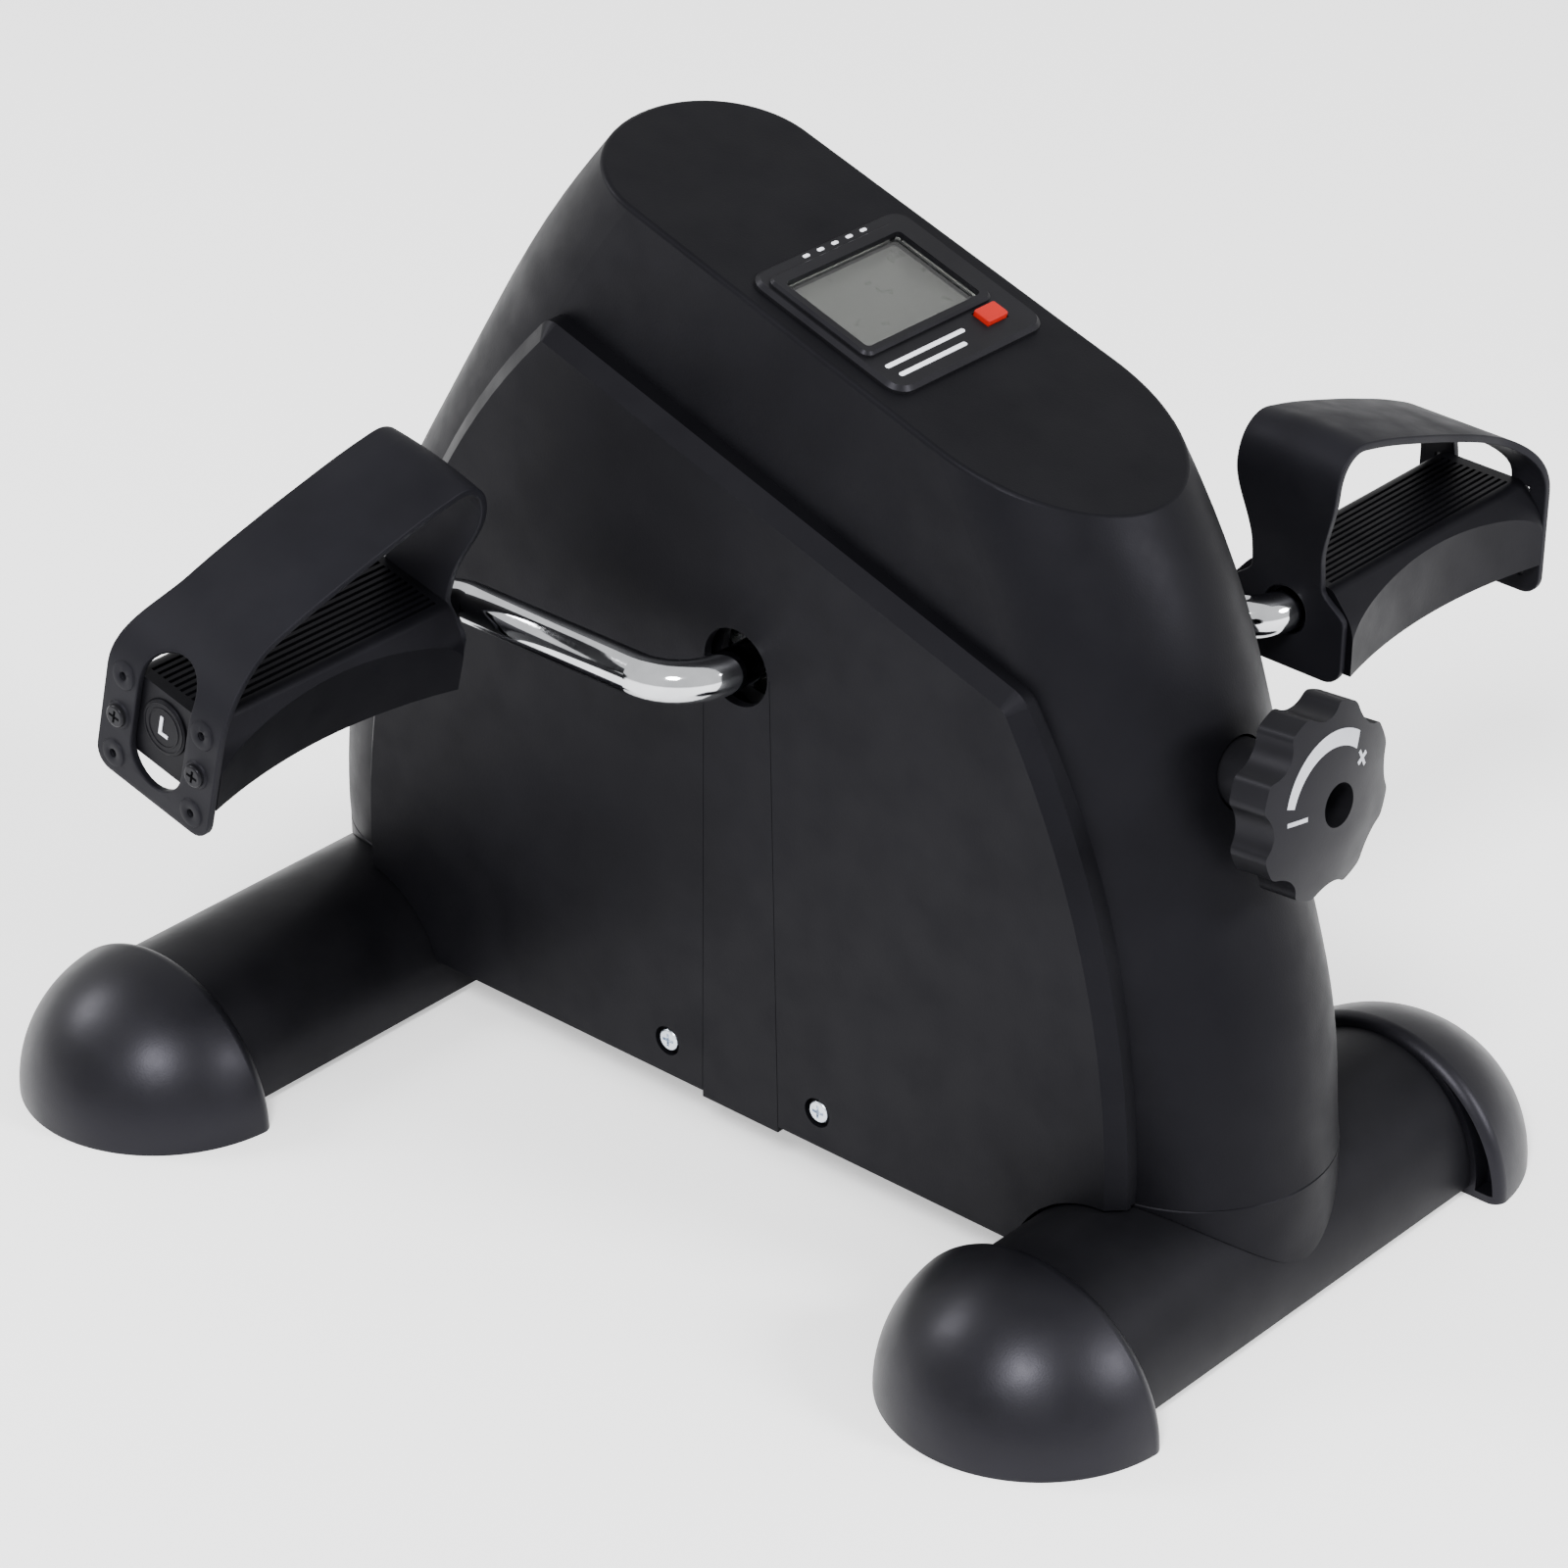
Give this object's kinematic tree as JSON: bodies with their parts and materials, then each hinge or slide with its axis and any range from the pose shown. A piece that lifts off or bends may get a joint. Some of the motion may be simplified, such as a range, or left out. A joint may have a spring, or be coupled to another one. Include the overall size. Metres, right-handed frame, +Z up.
{
  "type": "pedal exerciser",
  "caption": "Under-desk pedal exerciser: covered flywheel drive on two leg bars, bent-rod crank, strapped pedals, tension knob and small display.",
  "frame": {"origin": "on the floor, midway between the leg bars and between the left and right sides", "axes": "+X to the user's right, +Y away from the user towards the wide rear leg bar, +Z up; the tension knob faces -Y"},
  "size_m": [0.3666, 0.391, 0.2973],
  "materials": {
    "cover_plastic": "fine moulded texture",
    "satin_plastic": "satin",
    "foot_plastic": "satin",
    "black_paint": "satin powder coat",
    "frame_paint": "powder coat",
    "zinc_steel": "zinc plated",
    "bearing_steel": "ground",
    "chrome_rod": "polished",
    "pulley_plastic": "moulded",
    "belt_rubber": "matt",
    "cast_iron": "turned",
    "magnet": "nickel plated",
    "sensor_plastic": "matt",
    "lead_sleeve": "matt",
    "clear_lens": "clear",
    "lcd": "grey display",
    "board": "solder mask",
    "cell": "stamped",
    "red_button": "satin",
    "pedal_plastic": "satin",
    "strap_rubber": "matt",
    "black_screw": "black oxide"
  },
  "bodies": {
    "frame": {"main_cover": "cover_plastic", "base_tray": "cover_plastic", "slot_cover_left": "cover_plastic", "slot_cover_right": "cover_plastic", "cover_screws": "zinc_steel", "front_leg": "black_paint", "rear_leg": "black_paint", "front_left_foot": "foot_plastic", "front_right_foot": "foot_plastic", "rear_left_foot": "foot_plastic", "rear_right_foot": "foot_plastic", "frame_beam": "frame_paint", "crank_post": "frame_paint", "bottom_bracket_shell": "frame_paint", "crank_bearing_left": "bearing_steel", "crank_bearing_right": "bearing_steel", "leg_bolts": "zinc_steel", "leg_nuts": "zinc_steel", "tray_screws": "zinc_steel", "drive_belt": "belt_rubber", "flywheel_bracket": "frame_paint", "flywheel_axle": "zinc_steel", "axle_nuts": "zinc_steel", "tension_bracket": "frame_paint", "reed_sensor": "sensor_plastic", "sensor_lead": "lead_sleeve", "console_bezel": "satin_plastic", "console_lens": "clear_lens", "lcd_panel": "lcd", "circuit_board": "board", "button_switch": "sensor_plastic", "battery": "cell"},
    "crank": {"crank": "chrome_rod", "drive_pulley": "pulley_plastic", "sensor_magnet": "magnet", "left_pedal_nut": "zinc_steel", "right_pedal_nut": "zinc_steel"},
    "flywheel": {"flywheel": "cast_iron", "flywheel_pulley": "pulley_plastic", "flywheel_bearings": "bearing_steel"},
    "tension_knob": {"tension_knob": "satin_plastic", "tension_screw": "zinc_steel", "screw_clip": "zinc_steel"},
    "brake": {"brake_carrier": "satin_plastic", "brake_magnets": "magnet"},
    "reset_button": {"reset_button": "red_button"},
    "left_pedal": {"left_pedal_block": "pedal_plastic", "left_pedal_strap": "strap_rubber", "left_strap_screws": "black_screw", "left_pedal_badge": "pedal_plastic"},
    "right_pedal": {"right_pedal_block": "pedal_plastic", "right_pedal_strap": "strap_rubber", "right_strap_screws": "black_screw", "right_pedal_badge": "pedal_plastic"}
  },
  "joints": [
    {"name": "crank_turn", "type": "hinge", "parent": "frame", "child": "crank", "pos_m": [0, -0.011, 0.165], "axis": [1, 0, 0], "continuous": true},
    {"name": "left_pedal_turn", "type": "hinge", "parent": "crank", "child": "left_pedal", "pos_m": [-0.13, 0.0835, 0.165], "axis": [1, 0, 0], "continuous": true},
    {"name": "right_pedal_turn", "type": "hinge", "parent": "crank", "child": "right_pedal", "pos_m": [0.13, -0.1055, 0.165], "axis": [1, 0, 0], "continuous": true},
    {"name": "flywheel_turn", "type": "hinge", "parent": "frame", "child": "flywheel", "pos_m": [0, -0.08, 0.117], "axis": [1, 0, 0], "continuous": true},
    {"name": "knob_turn", "type": "hinge", "parent": "frame", "child": "tension_knob", "pos_m": [0, -0.1866, 0.1657], "axis": [0, 0.9976, -0.0698], "range_deg": [0, 330]},
    {"name": "brake_slide", "type": "slide", "parent": "frame", "child": "brake", "axis": [0, 0.9976, -0.0698], "range_m": [0, 0.00733]},
    {"name": "reset_press", "type": "slide", "parent": "frame", "child": "reset_button", "axis": [0, 0.3134, -0.9496], "range_m": [0, 0.001], "stiffness_N_per_m": 400}
  ],
  "couplings": [
    {"joint": "flywheel_turn", "follows": "crank_turn", "ratio": 3.7143},
    {"joint": "knob_turn", "follows": "brake_slide", "rad_per_m": 785.75}
  ]
}
